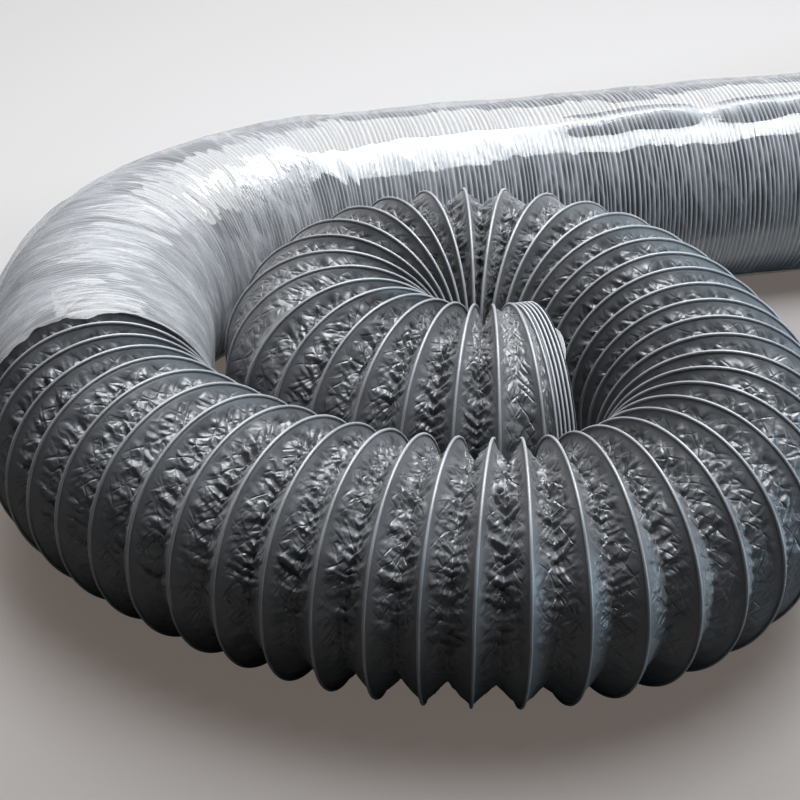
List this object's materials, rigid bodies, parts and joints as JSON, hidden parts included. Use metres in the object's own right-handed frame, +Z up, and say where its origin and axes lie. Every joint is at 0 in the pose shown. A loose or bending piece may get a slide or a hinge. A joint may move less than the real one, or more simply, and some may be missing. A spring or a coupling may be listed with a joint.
{
  "type": "flexible air duct",
  "caption": "Grey flexible air duct of coated fabric folded over a spring wire spiral, laid in a flat coil, with its far run still pressed together in a clear film sleeve.",
  "frame": {"origin": "centre of the open mouth, on its end face", "axes": "+X leaves the mouth along its axis, +Z up from the floor that the coil lies on, +Y towards the packed run behind the coil"},
  "size_m": [0.728, 0.6905, 0.1576],
  "materials": {
    "fabric": "coated, slightly shiny",
    "wire": "plain spring steel",
    "film": "clear, crinkled"
  },
  "bodies": {
    "coil": {"wall_neck": "fabric", "wall_loop_left": "fabric", "wall_loop_back": "fabric", "wall_back": "fabric", "wall_back_right": "fabric", "wall_right": "fabric", "wall_right_front": "fabric", "wall_front_right": "fabric", "wall_front": "fabric", "wall_front_left": "fabric", "wall_left_front": "fabric", "wall_left": "fabric", "pack_left": "fabric", "pack_bend": "fabric", "pack_back_left": "fabric", "pack_back": "fabric", "pack_tail": "fabric", "tail_wall": "fabric", "tail_hem": "fabric", "wire_neck": "wire", "wire_loop_left": "wire", "wire_loop_back": "wire", "wire_back": "wire", "wire_back_right": "wire", "wire_right": "wire", "wire_front_right": "wire", "wire_front": "wire", "wire_front_left": "wire", "wire_left_front": "wire", "wire_left": "wire", "wire_pack_left": "wire", "wire_pack_bend": "wire", "wire_pack_back_left": "wire", "wire_pack_back": "wire", "wire_pack_tail": "wire", "wire_tail": "wire", "film_sleeve": "film"},
    "neck": {"wall_collar": "fabric", "wire_collar": "wire", "wall_lead": "fabric", "wire_lead": "wire"},
    "mouth": {"mouth_hem": "fabric", "mouth_wall": "fabric", "wire_mouth": "wire"}
  },
  "joints": [
    {"name": "neck_lift", "type": "hinge", "parent": "coil", "child": "neck", "pos_m": [-0.08282, 0.02654, 0], "axis": [-0.685, -0.7286, 0], "range_deg": [0, 12], "deforming": ["wall_neck", "wire_neck"]},
    {"name": "mouth_lift", "type": "hinge", "parent": "neck", "child": "mouth", "pos_m": [-0.0288, 0.00104, 0], "axis": [-0.1396, -0.9902, 0], "range_deg": [0, 8], "deforming": ["wall_lead", "wire_lead"]}
  ]
}
